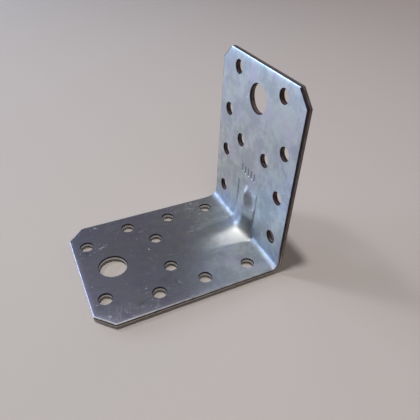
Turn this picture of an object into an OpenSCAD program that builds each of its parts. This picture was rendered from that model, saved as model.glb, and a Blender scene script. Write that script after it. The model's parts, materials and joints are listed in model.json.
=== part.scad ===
// Corner brace bracket: one zinc-plated steel sheet, punched with nail and bolt holes,
// folded to a right angle and stiffened by a rib that is pressed through the fold.
// The base leg runs along +X and the upright leg along +Z, with the width along Y.
// The origin is where the planes of the two outer faces meet, at mid-width.

/* [Sheet] */
// Thickness of the sheet
sheet_t = 2.5; // [2:0.1:3]
// Width of both legs
leg_w = 65; // [60:1:100]
// Length of the base leg from the outside of the fold
base_l = 88; // [84:1:130]
// Length of the upright leg from the outside of the fold
upright_l = 90; // [84:1:130]
// Inner radius of the fold
fold_r = 2.5; // [1.5:0.1:3.5]
// Corner cut from each side of the base leg's free end
base_cut = 7.5; // [3:0.5:9]
// Corner cut from each side of the upright leg's free end
upright_cut = 6.5; // [3:0.5:9]

/* [Nail holes] */
// Diameter of the nail holes
nail_d = 6; // [4:0.1:6.5]
// Distance from the free end to the end pair of nail holes
end_pair_in = 7; // [6:0.2:9]
// Distance between the centres of the end pair
end_pair_gap = 35.4; // [30:0.2:40]
// Distance from the free end to the first pair of the side rows
side_row_in = 29.6; // [27:0.2:32]
// Distance between neighbouring holes of a side row
side_row_pitch = 22.4; // [20:0.2:23]
// Distance from the side edge to a side row
side_row_edge = 8.8; // [7:0.2:10]
// Distance from the free end to the middle pair of nail holes
mid_pair_in = 40.2; // [38:0.2:43]
// Distance between the centres of the middle pair
mid_pair_gap = 21; // [16:0.5:26]

/* [Bolt holes] */
// Diameter of the bolt hole in each leg
bolt_d = 13; // [8:0.5:14]
// Distance from the free end to the bolt hole
bolt_in = 15.2; // [14:0.2:18]

/* [Rib] */
// Width of the rib on the legs
rib_leg_w = 18.8; // [14:0.2:22]
// Width of the rib where it crosses the fold
rib_fold_w = 21.6; // [18:0.2:26]
// Distance from the outside of the fold to the rib's tip on the base leg
rib_base_l = 36; // [30:0.5:38]
// Distance from the outside of the fold to the rib's tip on the upright leg
rib_upright_l = 31; // [28:0.5:38]
// Length of the rib's rounded end on the base leg
rib_base_end = 7; // [4:0.5:10]
// Length of the rib's rounded end on the upright leg
rib_upright_end = 6; // [4:0.5:10]
// Height that the crest line still has over the base leg at the rib's tip
rib_base_tip_h = 0.3; // [0.1:0.1:0.8]
// Height that the crest line still has over the upright leg at the rib's tip
rib_upright_tip_h = 1.3; // [0.6:0.1:1.6]
// Height of the crest over the inner corner of the fold, measured on the diagonal
rib_rise = 6.5; // [6:0.25:9]
// Angle at which the crest line leaves each leg
rib_lead = 5; // [3:0.5:5.5]
// Rounding of the crest, as a share of the rib's half width
rib_round = 0.33; // [0.15:0.01:0.6]

/* [Hidden] */
steel = [0.70, 0.73, 0.78];
half_w = leg_w / 2;
fold_x = sheet_t + fold_r;
fold_fn = 96;
hole_fn = 64;
cut_over = 1;
side_row_clear = 1;

// The rib's loft: stations along the crest, strips across it, and how deep its feet are sunk
stations = 48;
strips = 16;
end_last = 0.98;
foot_sink = sheet_t / 10;
foot_bury = sheet_t / 2;
hollow_in = 0.44 * sheet_t;
hollow_over = 0.8 * sheet_t;
lead_k = tan(rib_lead);
fan = [rib_base_l + 2 * sheet_t, rib_upright_l + 2 * sheet_t];
fold_centre = [fold_x, fold_x];
base_tip = [rib_base_l, sheet_t + rib_base_tip_h];
upright_tip = [sheet_t + rib_upright_tip_h, rib_upright_l];
lead_x = (upright_tip[0] + (rib_upright_l - base_tip[1]) * lead_k - rib_base_l * lead_k * lead_k)
    / (1 - lead_k * lead_k);
lead_meet = [lead_x, base_tip[1] + (rib_base_l - lead_x) * lead_k];
chord_mid = (base_tip + upright_tip) / 2;
crest_mid = [sheet_t, sheet_t] + [rib_rise, rib_rise] / sqrt(2);
crest_weight = norm(chord_mid - crest_mid) / norm(crest_mid - lead_meet);

// A point of the crest: a conic from tip to tip whose end tangents are the lead-in lines
function crest(s) =
    ((1 - s) * (1 - s) * base_tip + 2 * crest_weight * s * (1 - s) * lead_meet + s * s * upright_tip)
    / ((1 - s) * (1 - s) + 2 * crest_weight * s * (1 - s) + s * s);

// Place of a station on the crest, from 0 to 1, closer together towards the tips
function station(i) = let (t = i / stations) t * t / (t * t + (1 - t) * (1 - t));

// Distance from the fan line to one face of the folded sheet, in the direction d of a station.
// The face is named by its depth from the outer planes: sheet_t is the inner face, 0 the outer.
function face_reach(d, face) =
    let (hit = min((face - fan[0]) / d[0], (face - fan[1]) / d[1]), p = fan + hit * d,
        to_centre = fold_centre - fan, m = to_centre * d, r = fold_x - face)
    max(p[0], p[1]) >= fold_x ? hit : m + sqrt(r * r - to_centre * to_centre + m * m);

// How far a point of one face lies into the rib's rounded ends: 0 before them, end_last at a tip
function into_end(p, narrower) =
    min(end_last, max(0,
        1 + (p[0] + narrower - rib_base_l) / rib_base_end,
        1 + (p[1] + narrower - rib_upright_l) / rib_upright_end));

// Height of the rib from 1 on its rounded crest to 0 at its outline, where off is 1
function section(off) =
    1 - (sqrt(off * off + rib_round * rib_round) - rib_round) / (sqrt(1 + rib_round * rib_round) - rib_round);

// Half the rib's width at a station, widest over the fold
function half_rib(s) = (rib_leg_w + (rib_fold_w - rib_leg_w) * pow(sin(180 * s), 2)) / 2;

// Points of one loft. Each station's plane fans out from a line inside the angle.
function loft_points(face, narrower, floor_depth) =
    let (levels = [for (i = [0:stations])
        let (s = station(i), ray = crest(s) - fan, d = ray / norm(ray), foot = face_reach(d, face),
            end = into_end(fan + foot * d, narrower))
        [d, foot, norm(ray) + sheet_t - face, (half_rib(s) - narrower) * sqrt(1 - end * end), end]])
    concat(
        [for (row = levels) for (j = [0:strips])
            let (v = 2 * j / strips - 1, off = norm([v * sqrt(1 - row[4] * row[4]), row[4]]),
                low = row[1] + foot_sink, p = fan + (low - (low - row[2]) * section(off)) * row[0])
            [p[0], v * row[3], p[1]]],
        [for (row = levels) for (v = [-1, 1])
            let (p = fan + (row[1] + floor_depth) * row[0])
            [p[0], v * row[3], p[1]]]);

// Faces that close a loft: its top, its two sides, its floor and its two ends
function loft_faces() =
    let (n = strips + 1, b = (stations + 1) * n)
    concat(
        [for (i = [0:stations - 1]) for (j = [0:strips - 1]) for (k = [0, 1])
            let (a = i * n + j)
            k == 0 ? [a, a + n + 1, a + 1] : [a, a + n, a + n + 1]],
        [for (i = [0:stations - 1]) [i * n, b + 2 * i, b + 2 * i + 2, (i + 1) * n]],
        [for (i = [0:stations - 1])
            [i * n + strips, (i + 1) * n + strips, b + 2 * i + 3, b + 2 * i + 1]],
        [for (i = [0:stations - 1]) [b + 2 * i, b + 2 * i + 1, b + 2 * i + 3, b + 2 * i + 2]],
        [concat([for (j = [0:strips]) j], [b + 1, b])],
        [concat([for (j = [strips:-1:0]) stations * n + j], [b + 2 * stations, b + 2 * stations + 1])]);

// Metal that the rib pushes up on the inner side of the sheet
module rib_crest() {
    polyhedron(loft_points(sheet_t, 0, foot_bury), loft_faces(), convexity = 4);
}

// Hollow that the rib leaves on the outer side, one sheet thickness behind its crest
module rib_hollow() {
    polyhedron(loft_points(0, hollow_in, hollow_over), loft_faces(), convexity = 4);
}

// Turns a shape laid out for the base leg into its place on the upright leg
module on_upright() {
    mirror([1, 0, 0]) rotate([0, -90, 0]) children();
}

// Flat part of one leg with its free corners cut off
module leg(length, cut) {
    linear_extrude(height = sheet_t)
        polygon([
            [fold_x, -half_w], [length - cut, -half_w], [length, cut - half_w],
            [length, half_w - cut], [length - cut, half_w], [fold_x, half_w]]);
}

// Quarter bend that joins the legs
module fold() {
    translate([fold_x, 0, fold_x])
        rotate([90, 0, 0])
            rotate([0, 0, 180])
                rotate_extrude(angle = 90, $fn = fold_fn)
                    translate([fold_r, -half_w])
                        square([sheet_t, leg_w]);
}

// One punched hole through a leg
module punch(x, y, d) {
    translate([x, y, -cut_over])
        cylinder(h = sheet_t + 2 * cut_over, d = d, $fn = hole_fn);
}

// How many holes of a side row fit between its first hole and the fold
function side_row_count(length) =
    1 + floor((length - side_row_in - fold_x - nail_d / 2 - side_row_clear) / side_row_pitch);

// The holes of one leg, set out from its free end and its side edges
module leg_holes(length) {
    punch(length - bolt_in, 0, bolt_d);
    for (side = [-1, 1]) {
        punch(length - end_pair_in, side * end_pair_gap / 2, nail_d);
        punch(length - mid_pair_in, side * mid_pair_gap / 2, nail_d);
        for (i = [0:side_row_count(length) - 1])
            punch(length - side_row_in - i * side_row_pitch, side * (half_w - side_row_edge), nail_d);
    }
}

// The whole bracket
module angle_bracket() {
    color(steel)
        difference() {
            union() {
                leg(base_l, base_cut);
                on_upright() leg(upright_l, upright_cut);
                fold();
                rib_crest();
            }
            rib_hollow();
            leg_holes(base_l);
            on_upright() leg_holes(upright_l);
        }
}

angle_bracket();
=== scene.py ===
import json
import math

import bpy
import numpy as np
from mathutils import Matrix, Vector, geometry


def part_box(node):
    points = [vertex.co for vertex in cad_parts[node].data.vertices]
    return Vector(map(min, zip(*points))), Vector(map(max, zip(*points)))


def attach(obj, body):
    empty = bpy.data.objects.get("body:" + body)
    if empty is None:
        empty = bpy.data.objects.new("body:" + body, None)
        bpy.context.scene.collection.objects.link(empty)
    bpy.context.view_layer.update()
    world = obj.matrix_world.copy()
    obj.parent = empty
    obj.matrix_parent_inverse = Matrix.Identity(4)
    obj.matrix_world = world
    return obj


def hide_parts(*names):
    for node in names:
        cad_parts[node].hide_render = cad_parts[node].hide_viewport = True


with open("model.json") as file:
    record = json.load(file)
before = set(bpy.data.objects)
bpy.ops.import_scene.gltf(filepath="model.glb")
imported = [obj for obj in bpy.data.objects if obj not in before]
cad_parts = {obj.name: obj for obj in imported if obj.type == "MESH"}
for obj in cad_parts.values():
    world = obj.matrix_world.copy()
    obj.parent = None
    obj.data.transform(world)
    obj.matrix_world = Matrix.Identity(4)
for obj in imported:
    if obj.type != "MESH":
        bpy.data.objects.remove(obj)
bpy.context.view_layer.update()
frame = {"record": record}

# Lengths are in millimetres up to the mesh, which is in metres
MM = 0.001
NODE = "angle_bracket"

# The sheet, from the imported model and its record. Its fold, its cut corners and the rib below repeat
# the values of the part's source
MOUNTS = frame["record"]["mounts"]
BASE_L, HALF_W, UPRIGHT_L = (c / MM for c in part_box(NODE)[1])
SHEET_T = next(m["dims"]["length_mm"] for m in MOUNTS if m["kind"] == "bore")
FOLD_R = 2.5
FOLD_X = SHEET_T + FOLD_R
HALF_BEND = (FOLD_R + SHEET_T / 2) * math.pi / 4
BASE_END = HALF_BEND + BASE_L - FOLD_X
UPRIGHT_END = HALF_BEND + UPRIGHT_L - FOLD_X
BASE_CUT = 7.5
UPRIGHT_CUT = 6.5

# The rib that is pressed through the fold. Its end on the base leg is longer than in the solid
RIB_LEG_W = 18.8
RIB_FOLD_W = 21.6
RIB_BASE_L = 36
RIB_UPRIGHT_L = 31
RIB_BASE_END = 13
RIB_UPRIGHT_END = 6
RIB_BASE_TIP_H = 0.3
RIB_UPRIGHT_TIP_H = 1.3
RIB_RISE = 6.5
RIB_LEAD = math.tan(math.radians(5))
RIB_ROUND = 0.33
CREST_STATIONS = 600
FAN = np.array([RIB_BASE_L + 2 * SHEET_T, RIB_UPRIGHT_L + 2 * SHEET_T])

# How deep the rib's feet are sunk, over what height they blend in, and how much narrower its hollow is
FOOT_SINK = SHEET_T / 10
FOOT_BLEND = 0.25
HOLLOW_IN = 0.44 * SHEET_T

# The crest is sharper on the upright leg, where the rib narrows towards its tip
CREST_ROUND_UP = 0.10
CREST_CHANGE = 14
NARROW_Z = (15, 29)
NARROW_SHARE = 0.62

# The rib is lower towards its tip on the base leg
FADE_X = (13, 28)
FADE_SHARE = 0.5

# The sheared outer edge: rolled over on the inner face, smooth on its land, torn back down to the burr.
# The steps say how far back into the sheet they lie, and how far below the land or above the outer face
ROLL_W = 0.5
ROLL_D = 0.32
LAND_D = 1.0
LAND_STEPS = ((0, -0.1), (0.01, 0), (0.05, 0.15))
TEAR_STEPS = ((0.1, 0.24), (0.13, 0.06), (0.22, 0))

# A punched hole: a torn cone under the inner face, a smooth wall, then a round rim on the outer face.
# The cone's steps are how far outside the hole's radius they lie, and how deep
CONE_STEPS = ((0.28, 0), (0.126, 0.44), (0.02, 0.8), (0, 0.9))
WALL_D = 1.95
BACK_ROLL = 0.42

# The face droops a little along the outer edge
DROOP_W = 2.6
DROOP_D = 0.16

# The sheet's corners are rounded. An outline inside it that is moved in by more than this share of
# their radius has sharp ones
CORNER_R = 0.9
CORNER_SHARP = 0.7

# How far the bend runs out softly into the legs, and how much more so at its far end. The bend is the
# mean of this many sharper ones
BEND_EASE = 3.2
EASE_LEAN = 0.72
EASE_STEPS = 9

# Fine creases beside the rib on the upright leg, and the length over which they come and go
CREASE_Y = 8.5
CREASE_Z = (11, 29.5)
CREASE_D = 0.42
CREASE_W = 0.42
CREASE_END = 2

# A shallow dent in the near flank of the rib, high on the upright leg
DENT_Y = 4.6
DENT_Z = 23
DENT_HALF_W = 3.9
DENT_HALF_H = 5.4
DENT_D = 0.55

# Plain strokes pressed into the upright leg, set out from the heel and the middle of the width. Their
# sides slope over STROKE_W, and their floor reaches a share of that from the middle of each stroke
STROKES_Y = (-6.1, -3.4, -0.7, 2.0, 4.7)
STROKES_Z = (35.0, 38.6)
STROKE_W = 0.42
STROKE_D = 0.32
STROKE_FLAT = 0.4

# Spacing of the mesh on the legs, over the rib outside and inside, round the strokes and the holes
COARSE = 2.0
FINE = 0.55
CLOSE = 0.34
STROKE_STEP = 0.22
HOLE_STEP = 0.4

# How many rows or steps a bend, corner or rounded rim has
BEND_ROWS = 34
CORNER_STEPS = 5
ROLL_STEPS = 5
BACK_STEPS = 4

# How far the closer spacing reaches along and across the rib, and past the strokes
RIB_REACH = 34.2
RIB_SIDE = 12.1
STROKE_MARGIN = 1

# Loops of points follow the outer edge and each hole at these distances. The grid stays clear of them
# by a share of its spacing, and points along the outline stay clear of its corners
EDGE_LOOPS = (0.2, 0.7, 1.3, 2.0)
HOLE_LOOP = 0.2
GRID_ROOM = 0.4
ROW_CLEAR = 1

# Limits under which points are one, a side is level, and a triangle has no width
SAME_POINT = 1e-5
LEVEL = 1e-6
SLIVER = 1e-4

# Millimetres to one unit of the sheet's UV map, and the angle over which its shading breaks
UV_MM = 100
SHARP_ANGLE = math.radians(40)

# Places of the sheet's materials in its list
PLATED, SHEARED, PUNCHED = range(3)

# The real bracket stands a little unevenly. Here it is level, and the floor lies this far below it
FLOOR_GAP = 1.1
FLOOR_REACH_M = 3.0
FLOOR_COLOUR = (0.66, 0.60, 0.577)

# Colours of the plating
ZINC = (0.575, 0.598, 0.672)
ZINC_COOL = (0.54, 0.595, 0.7)
ZINC_WARM = (0.6, 0.6, 0.64)
ZINC_VIOLET = (0.56, 0.53, 0.69)
ZINC_OLIVE = (0.53, 0.58, 0.58)
ZINC_DULL = (0.37, 0.38, 0.45)
ZINC_LIGHT = (0.74, 0.77, 0.82)

# Colours laid over the plating one by one. Each comes in between two values of its noise, and the
# second number of each pair is how strong it is there
LAYERS = (
    ("hues", (0.50, 0.0), (0.62, 0.85), ZINC_VIOLET),
    ("hues", (0.32, 0.75), (0.46, 0.0), ZINC_OLIVE),
    ("patches", (0.42, 0.0), (0.58, 0.7), ZINC_DULL),
    ("drag", (0.45, 0.0), (0.8, 0.25), ZINC_LIGHT))

# Painted shade and sheen that the plating's colour is multiplied by along the sheet, by the distance from
# mid-fold: darker on the base leg and around the fold, brighter and bluer up the upright. Then the distance
# at which the ramp of this painted light ends on both legs
SHADE_AND_SHEEN = (
    (-88, (0.88, 0.84, 0.93)), (-45, (0.90, 0.87, 0.88)), (-8, (0.82, 0.83, 0.72)),
    (3, (0.74, 0.80, 0.86)), (7, (0.80, 0.86, 0.90)), (12, (0.94, 0.97, 0.90)),
    (20, (1.02, 1.07, 0.96)), (45, (1.06, 1.12, 1.05)), (88, (1.06, 1.15, 1.14)))
SHADE_AND_SHEEN_REACH = 90

# Roughness of the plating by its patches, what bending and wear add to it, and how much smoother the
# base leg gets towards its free end. Distances are from mid-fold. Worn marks are less metallic too
ROUGH_PATCHES = ((0.3, 0.36), (0.7, 0.46))
WORKED_ROUGH = 0.09
WORKED_RUN = (RIB_BASE_L, FOLD_X)
MARKS_ROUGH = 0.16
MARKS_DULL = 0.6
BASE_SMOOTH = 0.045
BASE_SMOOTH_RUN = (-18, -58)

# How uneven the plating is on the flat, and how much more so at the bend
WAVES_FLAT = 6
WAVES_BENT = 5.4

# A painted highlight on the crest, at the base leg's side of the fold, from its rim to its middle
PAINTED_HIGHLIGHT_AT = (9.0, 4.2, 5.7)
PAINTED_HIGHLIGHT_R = (8.5, 2.5)
PAINTED_HIGHLIGHT = (0.62, 0.63, 0.63)
PAINTED_HIGHLIGHT_ROUGH = 0.05

# Painted shade and painted highlights on the rib's near flank: what its colour is multiplied by, by height
# over the base leg's outer face, and the most that heights and shares can be. The painted zones fade in and
# out at these places across the width, and over the fold by how far a point is higher than it is long
FLANK_LIGHT_AND_SHADE = ((8, 0.5), (12, 0.62), (15.5, 1.3), (18, 1.25), (21, 0.9), (24, 1.0), (27, 1.5))
FLANK_TOP = 30
FLANK_MAX = 2
FLANK_Y = ((0.5, 2.5), (7.0, 9.0))
FLANK_SIDE = (-1, 2)

# Colours of the sheared edge and of the holes' walls, paler on the base leg than on the upright, where
# their darker copies are painted shade
EDGE_ROLL = (0.46, 0.47, 0.50)
# Painted shade: the dark reflection on the edge's land, and the contact shadow at the foot of a hole's wall
EDGE_SHADE = (0.02, 0.017, 0.022)
EDGE_PALE = (0.48, 0.42, 0.41)
# Painted contact shadow along the foot of the edge
EDGE_CONTACT_SHADOW = (0.05, 0.04, 0.035)
EDGE_RUST = (0.13, 0.07, 0.055)
# The upright's darker copies, painted shade: its dark bands and its darker torn zone and wall
UPRIGHT_SHADE = (0.028, 0.027, 0.036)
UPRIGHT_SHADED_BROWN = (0.20, 0.165, 0.165)
UPRIGHT_RUST = (0.085, 0.045, 0.055)
# The torn cone under a hole's rim: dark torn steel, made near-black by painted shade
HOLE_TORN_AND_SHADE = (0.03, 0.03, 0.038)
HOLE_WALL = (0.74, 0.71, 0.71)

# Bands of the edge and the walls on each leg, by the share of the sheet's thickness from its inner face
EDGE_ON_BASE = (
    (0.10, EDGE_ROLL), (0.15, EDGE_SHADE), (0.42, EDGE_SHADE), (0.52, EDGE_PALE), (0.80, EDGE_PALE),
    (0.9, EDGE_CONTACT_SHADOW))
EDGE_ON_UPRIGHT = (
    (0.10, UPRIGHT_SHADE), (0.40, UPRIGHT_SHADE), (0.52, UPRIGHT_SHADED_BROWN), (0.84, UPRIGHT_SHADED_BROWN),
    (0.93, UPRIGHT_SHADE))
WALL_ON_BASE = ((0.30, HOLE_TORN_AND_SHADE), (0.37, HOLE_WALL), (0.76, HOLE_WALL), (0.84, EDGE_SHADE))
WALL_ON_UPRIGHT = (
    (0.28, UPRIGHT_SHADE), (0.38, UPRIGHT_SHADED_BROWN), (0.75, UPRIGHT_SHADED_BROWN), (0.9, UPRIGHT_SHADE))

# Heights between which the looks of the base leg's edge and walls change to the upright's darker ones,
# which are painted shade
LEGS_CHANGE_Z = (5, 16)

# Where a Mix node keeps its factor, its two colours and its result
MIX_INPUTS = (0, 6, 7)
MIX_RESULT = 2

# The dim room, and the camera as fitted to the photo: the picture's width, the focal length and the
# optical centre in pixels, then its place in millimetres, the direction it looks in and its roll in
# degrees. The sensor's width is free, because the lens is worked out from it
ROOM_COLOUR = (0.032, 0.032, 0.036)
PICTURE = 420
FOCAL = 415.4
CENTRE = (207.5, 200.6)
CAMERA_AT = (97.31, 140.84, 145.95)
CAMERA_FORWARD = (-0.36738, -0.71022, -0.60052)
CAMERA_ROLL = 2.677
SENSOR_W = 36
CLIP_START_M = 0.01


def run_on_base(x):
    """Distance along the sheet from the middle of the fold, negative on the base leg"""
    return -(HALF_BEND + x - FOLD_X)


def run_on_upright(z):
    """Distance along the sheet from the middle of the fold, positive on the upright leg"""
    return HALF_BEND + z - FOLD_X


def smooth(value, start, end):
    """From 0 at start to 1 at end, with a soft beginning and end"""
    t = np.clip((value - start) / (end - start), 0, 1)
    return t * t * (3 - 2 * t)


def folded(run, y, depth):
    """Points (x, z) of the folded sheet, at a depth below its inner face, whose bend starts softly"""
    points = 0
    r = FOLD_R + depth
    ease = BEND_EASE * (1 - EASE_LEAN * y / HALF_W)
    shifts = np.linspace(-1, 1, EASE_STEPS)[:, None] * ease
    for shift in shifts:
        angle = np.clip(((run + shift) / HALF_BEND + 1) * math.pi / 4, 0, math.pi / 2)
        x = FOLD_X - r * np.sin(angle) + np.maximum(-run - shift - HALF_BEND, 0)
        z = FOLD_X - r * np.cos(angle) + np.maximum(run + shift - HALF_BEND, 0)
        points = points + np.stack([x, z], -1) / len(shifts)
    return points


def strokes(run, y):
    """Depth of the strokes pressed into the inner face"""
    start, end = (run_on_upright(z) for z in STROKES_Z)
    beyond = np.maximum(np.maximum(start - run, run - end), 0)
    away = np.min([np.hypot(y - middle, beyond) for middle in STROKES_Y], axis=0)
    return STROKE_D * np.clip(1 + STROKE_FLAT - away / STROKE_W, 0, 1)


def creases(z, y):
    """Depth of the creases beside the rib"""
    begun, ended = (smooth(z, edge - CREASE_END, edge) for edge in CREASE_Z)
    return (begun - ended) * CREASE_D * np.exp(-((np.abs(y) - CREASE_Y) / CREASE_W) ** 2)


def dent(z, y):
    """The dent in the rib's near flank, from 0 at its outline to 1 in its middle"""
    away = ((y - DENT_Y) / DENT_HALF_W) ** 2 + ((z - DENT_Z) / DENT_HALF_H) ** 2
    return np.maximum(1 - away, 0)


def crest_line():
    """Stations along the rib's crest: direction of each from the fan line, its distance and half width"""
    base_tip = np.array([RIB_BASE_L, SHEET_T + RIB_BASE_TIP_H])
    upright_tip = np.array([SHEET_T + RIB_UPRIGHT_TIP_H, RIB_UPRIGHT_L])
    meet_x = upright_tip[0] + (RIB_UPRIGHT_L - base_tip[1]) * RIB_LEAD - RIB_BASE_L * RIB_LEAD ** 2
    meet_x /= 1 - RIB_LEAD ** 2
    meet = np.array([meet_x, base_tip[1] + (RIB_BASE_L - meet_x) * RIB_LEAD])
    middle = SHEET_T + RIB_RISE / math.sqrt(2)
    crest_mid = np.array([middle, middle])
    chord_mid = (base_tip + upright_tip) / 2
    weight = np.linalg.norm(chord_mid - crest_mid) / np.linalg.norm(crest_mid - meet)
    t = np.linspace(0, 1, CREST_STATIONS)[:, None]
    s = t ** 2 / (t ** 2 + (1 - t) ** 2)
    share = [(1 - s) ** 2, 2 * weight * s * (1 - s), s ** 2]
    crest = (share[0] * base_tip + share[1] * meet + share[2] * upright_tip) / sum(share)
    ray = crest - FAN
    turn = np.arctan2(ray[:, 1], ray[:, 0]) % (2 * math.pi)
    half = (RIB_LEG_W + (RIB_FOLD_W - RIB_LEG_W) * np.sin(math.pi * s[:, 0]) ** 2) / 2
    order = np.argsort(turn)
    return turn[order], np.linalg.norm(ray, axis=1)[order], half[order]


def section(off, rounding):
    """Height of the rib, from 1 on its rounded crest to 0 at its outline, where off is 1"""
    off = np.minimum(off, 1)
    fall = np.sqrt(off ** 2 + rounding ** 2) - rounding
    return 1 - fall / (np.sqrt(1 + rounding ** 2) - rounding)


def ribbed(points, y, above, narrower):
    """Pushes points (x, z) of one face towards the fan line, where the rib lifts that face"""
    turns, reaches, halves = crest_line()
    x, z = points.T
    ray = points - FAN
    foot = np.linalg.norm(ray, axis=1)
    turn = np.arctan2(ray[:, 1], ray[:, 0]) % (2 * math.pi)
    reach = np.interp(turn, turns, reaches) + above
    half = np.interp(turn, turns, halves) - narrower
    half = half * (1 - NARROW_SHARE * smooth(z, *NARROW_Z))
    base_end = (x + narrower - RIB_BASE_L) / RIB_BASE_END + 1
    upright_end = (z + narrower - RIB_UPRIGHT_L) / RIB_UPRIGHT_END + 1
    off = np.hypot(y / half, np.maximum(np.maximum(base_end, upright_end), 0))
    up = smooth(z - x, 0, CREST_CHANGE)
    low = foot + FOOT_SINK
    rise = (low - reach) * section(off, RIB_ROUND + (CREST_ROUND_UP - RIB_ROUND) * up)
    top = low - rise * (1 - FADE_SHARE * smooth(x, *FADE_X))
    near = np.maximum(FOOT_BLEND - np.abs(top - foot), 0)
    lifted = np.minimum(top, foot) - near ** 2 / (4 * FOOT_BLEND)
    is_inner_face = above == 0
    if is_inner_face:
        lifted += creases(z, y)
        lifted += up * DENT_D * dent(z, y)
    return FAN + ray * (lifted / foot)[:, None]


def outline_corners():
    """Corners of the flat sheet, and the outward directions of the sides before and after each"""
    corners = [
        (UPRIGHT_END - UPRIGHT_CUT, -HALF_W), (UPRIGHT_END, UPRIGHT_CUT - HALF_W),
        (UPRIGHT_END, HALF_W - UPRIGHT_CUT), (UPRIGHT_END - UPRIGHT_CUT, HALF_W),
        (BASE_CUT - BASE_END, HALF_W), (-BASE_END, HALF_W - BASE_CUT),
        (-BASE_END, BASE_CUT - HALF_W), (BASE_CUT - BASE_END, -HALF_W)]
    eighth = math.pi / 4
    normals = [Vector((math.cos(k * eighth), math.sin(k * eighth))) for k in range(-2, 7)]
    return [(Vector(p), normals[k], normals[k + 1]) for k, p in enumerate(corners)]


def droop(run, y):
    """How far the inner face lies below its plane along the outer edge"""
    gaps = [side.dot(corner) - (side[0] * run + side[1] * y) for corner, side, _ in outline_corners()]
    gap = np.clip(np.min(gaps, axis=0), 0, DROOP_W)
    return DROOP_D * (1 - gap / DROOP_W) ** 2


def outline(inset):
    """Closed outline of the flat sheet moved in by inset, with its corners rounded"""
    eighth = math.pi / 4
    points = []
    for k, (corner, before, after) in enumerate(outline_corners()):
        turned = (before + after) / (1 + before.dot(after))
        if inset > CORNER_R * CORNER_SHARP:
            points += [tuple(corner - inset * turned), None]
            continue
        centre = corner - CORNER_R * turned
        reach = CORNER_R - inset
        for step in range(CORNER_STEPS + 1):
            a = (k - 2 + step / CORNER_STEPS) * eighth
            points.append((centre[0] + reach * math.cos(a), centre[1] + reach * math.sin(a)))
        points.append(None)
    return joined(points)


def joined(points):
    """Fills each straight stretch, marked by None, with points of the mesh's spacing"""
    full = []
    for k, p in enumerate(points):
        if p is not None:
            full.append(p)
            continue
        start, end = Vector(points[k - 1]), Vector(points[(k + 1) % len(points)])
        if abs(start.y - end.y) < LEVEL:
            low, high = sorted((start.x, end.x))
            rows = [r for r in sheet_rows(COARSE) if low + ROW_CLEAR < r < high - ROW_CLEAR]
            full += [(r, start.y) for r in sorted(rows, reverse=start.x > end.x)]
        else:
            n = max(2, round((end - start).length / COARSE))
            full += [tuple(start.lerp(end, i / n)) for i in range(1, n)]
    return full


def sheet_rows(step):
    """Rows along the sheet, with closer ones of their own over the bend"""
    soft = HALF_BEND + BEND_EASE * (1 + EASE_LEAN)
    bend = np.linspace(-soft, soft, BEND_ROWS + 1)
    base = np.arange(-soft - step, -BASE_END, -step)
    upright = np.arange(soft + step, UPRIGHT_END, step)
    return sorted([*bend, *base, *upright])


def holes():
    """Centre (run, y) and radius of every hole, from the record's mounts"""
    found = []
    for m in MOUNTS:
        if m["kind"] not in ("bore", "bolt_pattern"):
            continue
        x, y, z = (c / MM for c in m["pos_m"])
        dims = m["dims"]
        radius = dims.get("r_mm") or dims["hole_r_mm"]
        spacing = dims.get("spacing_x_mm", 0), dims.get("spacing_y_mm", 0)
        on_base = abs(m["axis"][2]) > 0.5
        run = run_on_base(x) if on_base else run_on_upright(z)
        along, across = spacing if on_base else spacing[::-1]
        for a in sorted({-along / 2, along / 2}):
            found += [(run + a, y + b, radius) for b in sorted({-across / 2, across / 2})]
    return found


def ring(hole, outset):
    """Points round a hole, at a distance outside its radius"""
    run, y, radius = hole
    n = 8 * round(2 * math.pi * radius / HOLE_STEP / 8)
    turn = 2 * math.pi / n
    r = radius + outset
    return [(run + r * math.cos(i * turn), y + r * math.sin(i * turn)) for i in range(n)]


def quarter_turn(steps):
    """Sine and cosine at each step of a quarter turn"""
    angles = [k / steps * math.pi / 2 for k in range(steps + 1)]
    return [(math.sin(a), math.cos(a)) for a in angles]


def hole_steps():
    """A hole's profile from the inner face to the outer one: how far outside its radius, and how deep"""
    back = [(BACK_ROLL * (1 - c), WALL_D + (SHEET_T - WALL_D) * s) for s, c in quarter_turn(BACK_STEPS)]
    return [*CONE_STEPS, *back]


def rim_steps():
    """The outer edge's profile, as for a hole: how far back into the sheet, and how deep"""
    roll = [(ROLL_W * (1 - s), ROLL_D * (1 - c)) for s, c in quarter_turn(ROLL_STEPS)]
    land = [(back, LAND_D + below) for back, below in LAND_STEPS]
    tear = [(back, SHEET_T - over) for back, over in TEAR_STEPS]
    return roll + land + tear


def candidates(step, pressed):
    """Grid points of one face and their spacing: coarse on the legs, closer over the rib and strokes"""
    low_y, high_y = STROKES_Y[0] - STROKE_MARGIN, STROKES_Y[-1] + STROKE_MARGIN
    low_run = run_on_upright(STROKES_Z[0] - STROKE_MARGIN)
    high_run = run_on_upright(STROKES_Z[1] + STROKE_MARGIN)

    def in_strokes(run, y):
        """Whether a point lies where the strokes have a grid of their own"""
        return pressed and low_y < y < high_y and low_run < run < high_run

    for run in sheet_rows(COARSE):
        for y in np.arange(-HALF_W + COARSE / 2, HALF_W, COARSE):
            if (abs(run) > RIB_REACH or abs(y) > RIB_SIDE) and not in_strokes(run, y):
                yield run, y, COARSE
    for run in sheet_rows(step):
        if abs(run) <= RIB_REACH:
            for y in np.arange(-RIB_SIDE + step / 2, RIB_SIDE, step):
                if not in_strokes(run, y):
                    yield run, y, step
    if pressed:
        for run in np.arange(low_run, high_run, STROKE_STEP):
            for y in np.arange(low_y, high_y, STROKE_STEP):
                yield run, y, STROKE_STEP


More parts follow.
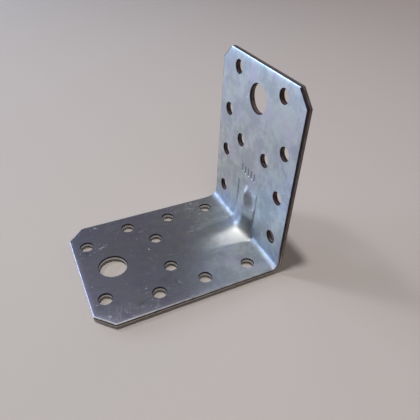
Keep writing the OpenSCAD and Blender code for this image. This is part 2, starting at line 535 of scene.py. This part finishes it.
def is_within(run, y, clear):
    """Whether a point lies inside the sheet's outline, clear of it"""
    if abs(y) > HALF_W - clear or not clear - BASE_END < run < UPRIGHT_END - clear:
        return False
    cut, end = (BASE_CUT, -BASE_END) if run < 0 else (UPRIGHT_CUT, UPRIGHT_END)
    return abs(end - run) + HALF_W - abs(y) >= cut + clear * math.sqrt(2)


def is_off_holes(run, y, clear, found):
    """Whether a point lies outside every hole, clear of it"""
    return all(math.hypot(run - hole[0], y - hole[1]) >= hole[2] + clear for hole in found)


def grid_points(rim, hole_rim, step, pressed):
    """The grid points of one face that are clear of its outline and holes"""
    found = holes()
    points = []
    for run, y, spacing in candidates(step, pressed):
        room = GRID_ROOM * spacing
        if is_within(run, y, rim + EDGE_LOOPS[-1] + room):
            if is_off_holes(run, y, hole_rim + HOLE_LOOP + room, found):
                points.append((run, y))
    return points


def is_sliver(corners):
    """Whether a triangle's corners lie almost on one line"""
    a, b, c = (Vector((*p, 0)) for p in corners)
    longest = max((b - a).length, (c - b).length, (a - c).length)
    return geometry.area_tri(a, b, c) < SLIVER * longest


def face_mesh(rim, hole_rim, step, pressed):
    """Triangles that fill one face, without those inside its holes and slivers along its outline"""
    loops = [outline(rim)] + [ring(h, hole_rim) for h in holes()]
    supports = [outline(rim + gap) for gap in EDGE_LOOPS] + [ring(h, hole_rim + HOLE_LOOP) for h in holes()]
    points, edges = [], []
    for loop in loops + supports:
        first = len(points)
        points += loop
        edges += [(first + i, first + (i + 1) % len(loop)) for i in range(len(loop))]
    points += grid_points(rim, hole_rim, step, pressed)
    made = geometry.delaunay_2d_cdt([Vector(p) for p in points], edges, [], 0, SAME_POINT)
    placed, triangles, sources = made[0], made[2], made[3]
    assert len(placed) == len(points)
    counts = [len(loop) for loop in loops]
    rim_of = np.repeat(range(len(counts)), counts)
    kept = []
    for triangle in triangles:
        corners = [sources[i][0] for i in triangle]
        rims = {rim_of[i] if i < len(rim_of) else -1 for i in corners}
        in_hole = len(rims) == 1 and min(rims) > 0
        if not in_hole and not (rims == {0} and is_sliver([points[i] for i in corners])):
            kept.append(corners)
    return points, kept, counts


def wall_quads(rows):
    """Faces between rows of points that run round a rim"""
    quads = []
    for upper, lower in zip(rows, rows[1:]):
        for i in range(len(upper)):
            j = (i + 1) % len(upper)
            quads.append([upper[i], lower[i], lower[j], upper[j]])
    return quads


def edge_slots(levels):
    """Materials of the outer edge's faces: the plating goes over the roll along the legs' ends only"""
    on_side = [abs(y) > HALF_W - UPRIGHT_CUT + CORNER_R / 4 for _, y in outline(0)]
    return [SHEARED if level >= ROLL_STEPS or side else PLATED for level in range(levels) for side in on_side]


def sheet_mesh():
    """The whole sheet: its two faces, the outer edge and the holes' walls, joined into one closed mesh"""
    edge, hole = rim_steps(), hole_steps()
    inner, inner_tris, counts = face_mesh(edge[0][0], hole[0][0], CLOSE, True)
    outer, outer_tris, _ = face_mesh(edge[-1][0], hole[-1][0], FINE, False)
    flat = [(*p, 0.0) for p in inner] + [(*p, SHEET_T) for p in outer]
    faces = [tri[::-1] for tri in inner_tris]
    faces += [[len(inner) + i for i in tri] for tri in outer_tris]
    slots = [PLATED] * len(faces)
    rims = [(outline, edge)] + [(lambda outset, h=h: ring(h, outset), hole) for h in holes()]
    first = 0
    for n, (rim, steps) in zip(counts, rims):
        rows = [range(first, first + n)]
        for back, depth in steps[1:-1]:
            rows.append(range(len(flat), len(flat) + n))
            flat += [(*p, depth) for p in rim(back)]
        rows.append([len(inner) + i for i in rows[0]])
        quads = wall_quads(rows)
        if steps is edge:
            faces += [quad[::-1] for quad in quads]
            slots += edge_slots(len(rows) - 1)
        else:
            faces += quads
            slots += [PUNCHED] * len(quads)
        first += n
    return np.array(flat), faces, slots


def bracket():
    """The bracket as one object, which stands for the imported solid"""
    flat, faces, slots = sheet_mesh()
    run, y, depth = flat.T
    sunk = droop(run, y) * np.clip(1 - depth / LAND_D, 0, 1) + np.where(depth == 0, strokes(run, y), 0)
    places = folded(run, y, depth + sunk)
    for on, above, narrower in ((depth == 0, 0, 0), (depth == SHEET_T, SHEET_T, HOLLOW_IN)):
        places[on] = ribbed(places[on], y[on], above, narrower)
    spots = np.stack([places[:, 0], y, places[:, 1]], -1) * MM
    mesh = bpy.data.meshes.new("bracket_sheet")
    mesh.from_pydata(spots.tolist(), [], faces)
    mesh.polygons.foreach_set("use_smooth", [True] * len(faces))
    mesh.polygons.foreach_set("material_index", slots)
    mesh.set_sharp_from_angle(angle=SHARP_ANGLE)
    layer = mesh.uv_layers.new(name="sheet")
    corners = np.zeros(len(mesh.loops), int)
    mesh.loops.foreach_get("vertex_index", corners)
    layer.data.foreach_set("uv", (flat[corners, :2] / UV_MM).ravel())
    mesh.attributes.new("depth", "FLOAT", "POINT").data.foreach_set("value", depth / SHEET_T)
    obj = bpy.data.objects.new("bracket_sheet", mesh)
    bpy.context.scene.collection.objects.link(obj)
    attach(obj, "root")
    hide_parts(NODE)
    return obj


def add_node(tree, kind, settings=None, **inputs):
    """A node with its settings and its inputs, which are values or sockets to link

    An input goes by its socket's name, or by an underscore and the socket's number.
    """
    node = tree.nodes.new("ShaderNode" + kind)
    for name, value in (settings or {}).items():
        setattr(node, name, value)
    for name, value in inputs.items():
        socket = node.inputs[int(name[1:])] if name[0] == "_" and name[1:].isdigit() else node.inputs[name]
        if isinstance(value, bpy.types.NodeSocket):
            tree.links.new(value, socket)
        else:
            socket.default_value = value
    return node


def math_node(tree, operation, *values):
    """The result of one operation on values or sockets"""
    inputs = {f"_{k}": value for k, value in enumerate(values)}
    return add_node(tree, "Math", {"operation": operation}, **inputs).outputs[0]


def weighted(tree, value, *additions):
    """A value to which others are added, each times its weight"""
    for addition, weight in additions:
        value = math_node(tree, "MULTIPLY_ADD", addition, weight, value)
    return value


def rising(tree, value, start, end):
    """From 0 at start to 1 at end, with a soft beginning and end"""
    limits = {"From Min": start, "From Max": end}
    settings = {"interpolation_type": "SMOOTHSTEP"}
    return add_node(tree, "MapRange", settings, Value=value, **limits).outputs[0]


def ramp(tree, value, *stops, ease="LINEAR"):
    """Colour by value; each stop is a position and a colour or a grey"""
    node = add_node(tree, "ValToRGB", _0=value)
    node.color_ramp.interpolation = ease
    elements = node.color_ramp.elements
    elements[0].position = stops[0][0]
    elements[1].position = stops[-1][0]
    for position, _ in stops[1:-1]:
        elements.new(position)
    for element, (_, colour) in zip(elements, stops):
        element.color = (*colour, 1) if isinstance(colour, tuple) else (colour, colour, colour, 1)
    return node.outputs[0]


def mix_colour(tree, factor, first, second, blend="MIX"):
    """The second colour over the first, as far as the factor says"""
    node = add_node(tree, "Mix", {"data_type": "RGBA", "blend_type": blend})
    for place, value in zip(MIX_INPUTS, (factor, first, second)):
        socket = node.inputs[place]
        if isinstance(value, bpy.types.NodeSocket):
            tree.links.new(value, socket)
        else:
            socket.default_value = (*value, 1) if isinstance(value, tuple) else value
    return node.outputs[MIX_RESULT]


def noise(tree, where, scale, detail=3, roughness=0.55, distortion=0, stretch=(1, 1, 1), shift=(0, 0, 0)):
    """Noise over a coordinate, whose features are about 1/scale across"""
    placed = add_node(tree, "Mapping", Vector=where, Scale=stretch, Location=shift).outputs[0]
    inputs = {"Scale": scale, "Detail": detail, "Roughness": roughness, "Distortion": distortion}
    return add_node(tree, "TexNoise", Vector=placed, **inputs).outputs[0]


def start_material(name):
    """A new material, its node tree and its shader"""
    mat = bpy.data.materials.new(name)
    mat.use_nodes = True
    tree = mat.node_tree
    return mat, tree, tree.nodes["Principled BSDF"]


def bumped(tree, shader, height, strength, distance):
    """Gives a material bumps, for which a height of 1 is the distance, in metres"""
    bump = add_node(tree, "Bump", Height=height, Strength=strength, Distance=distance)
    tree.links.new(bump.outputs[0], shader.inputs["Normal"])


def millimetres(tree):
    """Object coordinates in millimetres"""
    where = add_node(tree, "TexCoord").outputs["Object"]
    return add_node(tree, "VectorMath", {"operation": "SCALE"}, Vector=where, Scale=1 / MM).outputs[0]


def sheet_coordinates(tree):
    """Millimetres along the sheet and across it"""
    where = add_node(tree, "UVMap", {"uv_map": "sheet"}).outputs[0]
    return add_node(tree, "VectorMath", {"operation": "SCALE"}, Vector=where, Scale=UV_MM).outputs[0]


def zinc():
    """Zinc plating: dull metal with faint clouds of colour, drag marks, scuffs, specks and scratches"""
    mat, tree, shader = start_material("zinc_plating")
    solid = millimetres(tree)
    flat = sheet_coordinates(tree)
    along = add_node(tree, "SeparateXYZ", _0=flat).outputs[0]
    patterns = zinc_patterns(tree, solid, flat)
    marks = wear(tree, solid, flat)
    # Where a painted highlight lies on the crest
    highlight_spot = rising(tree, distance_to(tree, solid, PAINTED_HIGHLIGHT_AT), *PAINTED_HIGHLIGHT_R)
    bent = rising(tree, math_node(tree, "ABSOLUTE", along), *WORKED_RUN)
    colour = zinc_colour(tree, solid, patterns, along, marks)
    tree.links.new(mix_colour(tree, highlight_spot, colour, PAINTED_HIGHLIGHT), shader.inputs["Base Color"])
    tree.links.new(weighted(tree, 1.0, (marks, -MARKS_DULL)), shader.inputs["Metallic"])
    free_end = rising(tree, along, *BASE_SMOOTH_RUN)
    rough = weighted(tree, ramp(tree, patterns["patches"], *ROUGH_PATCHES), (bent, WORKED_ROUGH),
                     (marks, MARKS_ROUGH), (free_end, -BASE_SMOOTH), (highlight_spot, PAINTED_HIGHLIGHT_ROUGH))
    tree.links.new(rough, shader.inputs["Roughness"])
    height = zinc_relief(tree, solid, patterns["drag"], marks, bent)
    bumped(tree, shader, height, strength=0.5, distance=0.00002)
    return mat


def zinc_patterns(tree, solid, flat):
    """Noise in the plating: wide clouds, dull patches, changes of hue, and marks drawn along the sheet"""
    return {
        "clouds": noise(tree, solid, 0.045, detail=4, roughness=0.6),
        "patches": noise(tree, solid, 0.13, detail=5, roughness=0.65, shift=(40, 0, 0)),
        "hues": noise(tree, solid, 0.09, detail=4, roughness=0.6, shift=(0, 70, 11)),
        "drag": noise(tree, flat, 1, detail=4, roughness=0.7, stretch=(0.03, 0.9, 1))}


def zinc_colour(tree, solid, patterns, along, marks):
    """The plating's clouds and layers of colour and its marks

    Painted shade and sheen go along the sheet and over the rib's near flank.
    """
    colour = ramp(tree, patterns["clouds"], (0.3, ZINC_COOL), (0.5, ZINC), (0.7, ZINC_WARM))
    for pattern, start, end, layer in LAYERS:
        colour = mix_colour(tree, ramp(tree, patterns[pattern], start, end), colour, layer)
    # Painted shade and sheen along the sheet
    colour = mix_colour(tree, 1.0, colour, painted_shade_and_sheen(tree, along), "MULTIPLY")
    colour = mix_colour(tree, marks, colour, ZINC_LIGHT)
    # Painted light and shade on the rib's near flank
    return mix_colour(tree, 1.0, colour, painted_flank_light(tree, solid), "MULTIPLY")


def zinc_relief(tree, solid, drag, marks, bent):
    """Height of the plating: waves that grow towards the bend, grain, drag marks and worn marks"""
    unevenness = math_node(tree, "MULTIPLY_ADD", bent, WAVES_BENT, WAVES_FLAT)
    waves = math_node(tree, "MULTIPLY", noise(tree, solid, 0.16, detail=2, shift=(3, 9, 27)), unevenness)
    grain = noise(tree, solid, 1.6, detail=3, roughness=0.6)
    return weighted(tree, waves, (grain, 0.3), (drag, 0.25), (marks, -0.3))


def painted_shade_and_sheen(tree, along):
    """Painted shade and sheen along the sheet, which the plating's colour is multiplied by"""
    share = math_node(tree, "MULTIPLY_ADD", along, 0.5 / SHADE_AND_SHEEN_REACH, 0.5)
    return ramp(tree, share, *[(0.5 + run / SHADE_AND_SHEEN_REACH / 2, colour) for run, colour in SHADE_AND_SHEEN])


def distance_to(tree, solid, place):
    """Distance from a place"""
    return add_node(tree, "VectorMath", {"operation": "DISTANCE"}, _0=solid, _1=place).outputs["Value"]


def painted_flank_light(tree, solid):
    """Painted shade and painted highlights on the rib's near flank over the upright leg, as a multiplier"""
    x, y, z = add_node(tree, "SeparateXYZ", _0=solid).outputs
    level = math_node(tree, "DIVIDE", z, FLANK_TOP)
    stops = [(height / FLANK_TOP, share / FLANK_MAX) for height, share in FLANK_LIGHT_AND_SHADE]
    share = math_node(tree, "MULTIPLY", ramp(tree, level, *stops, ease="EASE"), FLANK_MAX)
    side = rising(tree, math_node(tree, "SUBTRACT", z, x), *FLANK_SIDE)
    inside = math_node(tree, "SUBTRACT", rising(tree, y, *FLANK_Y[0]), rising(tree, y, *FLANK_Y[1]))
    below = math_node(tree, "SUBTRACT", 1.0, rising(tree, z, FLANK_LIGHT_AND_SHADE[-1][0], FLANK_TOP))
    there = math_node(tree, "MULTIPLY", math_node(tree, "MULTIPLY", side, inside), below)
    return math_node(tree, "MULTIPLY_ADD", math_node(tree, "SUBTRACT", share, 1.0), there, 1.0)


def wear(tree, solid, flat):
    """All marks of wear: scuffs, scratches and specks"""
    specks = ramp(tree, noise(tree, solid, 0.7, detail=2, shift=(7, 3, 0)), (0.70, 0.0), (0.74, 0.6))
    marks = math_node(tree, "MAXIMUM", scuffs(tree, solid), scratches(tree, flat))
    return math_node(tree, "MAXIMUM", marks, specks)


def scuffs(tree, solid):
    """Small rubbed marks that come in clusters"""
    clusters = ramp(tree, noise(tree, solid, 0.075, detail=2, shift=(15, 4, 0)), (0.54, 0.0), (0.66, 1.0))
    rubs = noise(tree, solid, 0.55, detail=5, roughness=0.75, distortion=0.6, shift=(2, 33, 0))
    return math_node(tree, "MULTIPLY", clusters, ramp(tree, rubs, (0.56, 0.0), (0.64, 0.75)))


def scratches(tree, flat):
    """Hairline scratches in three directions, each only here and there"""
    found = None
    for k, turn in enumerate((0.35, 1.2, 2.5)):
        placed = add_node(tree, "Mapping", Vector=flat, Rotation=(0, 0, turn)).outputs[0]
        line = noise(tree, placed, 1, detail=1, stretch=(0.05, 2.2, 1), shift=(0, 31 * k, 0))
        here = ramp(tree, noise(tree, placed, 0.06, detail=1, shift=(9, 17 * k, 0)), (0.5, 0.0), (0.62, 0.6))
        line = math_node(tree, "MULTIPLY", here, ramp(tree, line, (0.71, 0.0), (0.76, 0.55)))
        found = line if found is None else math_node(tree, "MAXIMUM", found, line)
    return found


def on_upright(tree, solid):
    """0 on the base leg and 1 on the upright, changing a little above the bend"""
    height = add_node(tree, "SeparateXYZ", _0=solid).outputs[2]
    return rising(tree, height, *LEGS_CHANGE_Z)


def banded(tree, solid, wander):
    """How deep a point lies in the sheet, from 0 to 1, with bands that wander by a share of it"""
    depth = add_node(tree, "Attribute", {"attribute_name": "depth"}).outputs["Fac"]
    shift = math_node(tree, "SUBTRACT", noise(tree, solid, 0.8, detail=2), 0.5)
    return weighted(tree, depth, (shift, wander))


def cut_edge():
    """Sheared steel, banded with depth: the rolled plating, the land, the torn zone, then the burr

    The land's near-black band is a painted dark reflection, and the burr's band a painted contact shadow.
    """
    mat, tree, shader = start_material("sheared_edge")
    solid = millimetres(tree)
    band = banded(tree, solid, 0.14)
    rust = ramp(tree, noise(tree, solid, 0.35, detail=4, shift=(0, 20, 9)), (0.48, 0.0), (0.66, 0.7))
    base = mix_colour(tree, rust, ramp(tree, band, *EDGE_ON_BASE), EDGE_RUST, "SOFT_LIGHT")
    upright = mix_colour(tree, rust, ramp(tree, band, *EDGE_ON_UPRIGHT), UPRIGHT_RUST)
    # The upright's bands are darker copies, painted shade
    colour = mix_colour(tree, on_upright(tree, solid), base, upright)
    tree.links.new(colour, shader.inputs["Base Color"])
    tree.links.new(ramp(tree, band, (0.10, 1.0), (0.15, 0.35)), shader.inputs["Metallic"])
    shader.inputs["Roughness"].default_value = 0.5
    bumped(tree, shader, noise(tree, solid, 2.5, detail=3), strength=0.6, distance=0.00005)
    return mat


def punched():
    """A hole's wall: torn and dark under the inner face, then smooth, then a painted contact shadow at the
    outer face
    """
    mat, tree, shader = start_material("punched_wall")
    solid = millimetres(tree)
    band = banded(tree, solid, 0.10)
    rust = ramp(tree, noise(tree, solid, 0.5, detail=4, shift=(5, 0, 8)), (0.4, 0.0), (0.62, 0.8))
    base = ramp(tree, band, *WALL_ON_BASE)
    upright = mix_colour(tree, rust, ramp(tree, band, *WALL_ON_UPRIGHT), UPRIGHT_RUST)
    # The upright's bands are darker copies, painted shade
    colour = mix_colour(tree, on_upright(tree, solid), base, upright)
    tree.links.new(colour, shader.inputs["Base Color"])
    tree.links.new(ramp(tree, band, (0.30, 0.0), (0.37, 0.3)), shader.inputs["Metallic"])
    tree.links.new(ramp(tree, band, (0.30, 0.8), (0.37, 0.6)), shader.inputs["Roughness"])
    shader.inputs["Specular IOR Level"].default_value = 0.05
    bumped(tree, shader, noise(tree, solid, 2.0, detail=3), strength=0.5, distance=0.00005)
    return mat


def floor():
    """The pale floor under the bracket"""
    r = FLOOR_REACH_M
    level = -FLOOR_GAP * MM
    mesh = bpy.data.meshes.new("floor")
    mesh.from_pydata([(-r, -r, level), (r, -r, level), (r, r, level), (-r, r, level)], [], [(0, 1, 2, 3)])
    obj = bpy.data.objects.new("floor", mesh)
    bpy.context.scene.collection.objects.link(obj)
    mat, _, shader = start_material("pale_floor")
    shader.inputs["Base Color"].default_value = (*FLOOR_COLOUR, 1)
    shader.inputs["Specular IOR Level"].default_value = 0.1
    shader.inputs["Roughness"].default_value = 0.85
    mesh.materials.append(mat)


def panel_light(name, direction, distance, size, radiance, colour):
    """A soft panel facing the part, as bright as a surface of that radiance"""
    light = bpy.data.lights.new(name, "AREA")
    light.shape = "RECTANGLE"
    light.size, light.size_y = size
    light.energy = math.pi * radiance * size[0] * size[1]
    light.color = colour
    obj = bpy.data.objects.new(name, light)
    bpy.context.scene.collection.objects.link(obj)
    towards = Vector(direction).normalized()
    obj.location = towards * distance
    obj.rotation_euler = towards.to_track_quat("Z", "Y").to_euler()


def heading(azimuth, elevation):
    """Direction from the part at two angles in degrees"""
    a, e = math.radians(azimuth), math.radians(elevation)
    return math.cos(e) * math.cos(a), math.cos(e) * math.sin(a), math.sin(e)


def lights():
    """Each light: direction from the part, distance and size in metres, radiance and colour"""
    panel_light("window", heading(-48, 13), 1.3, (1.1, 0.56), 5.8, (0.60, 0.77, 1.0))
    panel_light("ceiling_lamp", (0.175, 0.03, 1), 1.0, (0.06, 0.06), 345, (1.0, 0.98, 0.97))
    panel_light("second_lamp", heading(-42, 54), 1.3, (0.15, 0.15), 32, (0.97, 0.98, 1.0))
    panel_light("room_behind", heading(72, 44), 1.3, (0.75, 0.75), 1.3, (1.0, 0.97, 0.80))
    panel_light("fill", heading(-156, 24), 1.3, (0.7, 0.7), 1.0, (1.0, 0.78, 0.72))
    panel_light("wall", heading(-112, 25), 1.3, (1.0, 0.6), 0.17, (1.0, 0.97, 1.0))


def room():
    """The dim room around the part"""
    world = bpy.data.worlds.new("room")
    bpy.context.scene.world = world
    world.use_nodes = True
    background = world.node_tree.nodes["Background"]
    background.inputs["Color"].default_value = (*ROOM_COLOUR, 1)
    background.inputs["Strength"].default_value = 1.0


def camera():
    """The camera that took the photo, as fitted to it"""
    lens = bpy.data.cameras.new("camera")
    lens.sensor_width = SENSOR_W
    lens.lens = FOCAL / PICTURE * SENSOR_W
    lens.shift_x = 0.5 - CENTRE[0] / PICTURE
    lens.shift_y = CENTRE[1] / PICTURE - 0.5
    lens.clip_start = CLIP_START_M
    obj = bpy.data.objects.new("camera", lens)
    bpy.context.scene.collection.objects.link(obj)
    place = Matrix.Translation(Vector(CAMERA_AT) * MM)
    turn = Vector(CAMERA_FORWARD).to_track_quat("-Z", "Y").to_matrix().to_4x4()
    obj.matrix_world = place @ turn @ Matrix.Rotation(math.radians(CAMERA_ROLL), 4, "Z")
    bpy.context.scene.camera = obj


sheet = bracket()
for material in (zinc, cut_edge, punched):
    sheet.data.materials.append(material())
floor()
lights()
room()
camera()

bpy.context.scene.view_settings.view_transform = "Standard"
bpy.context.view_layer.update()
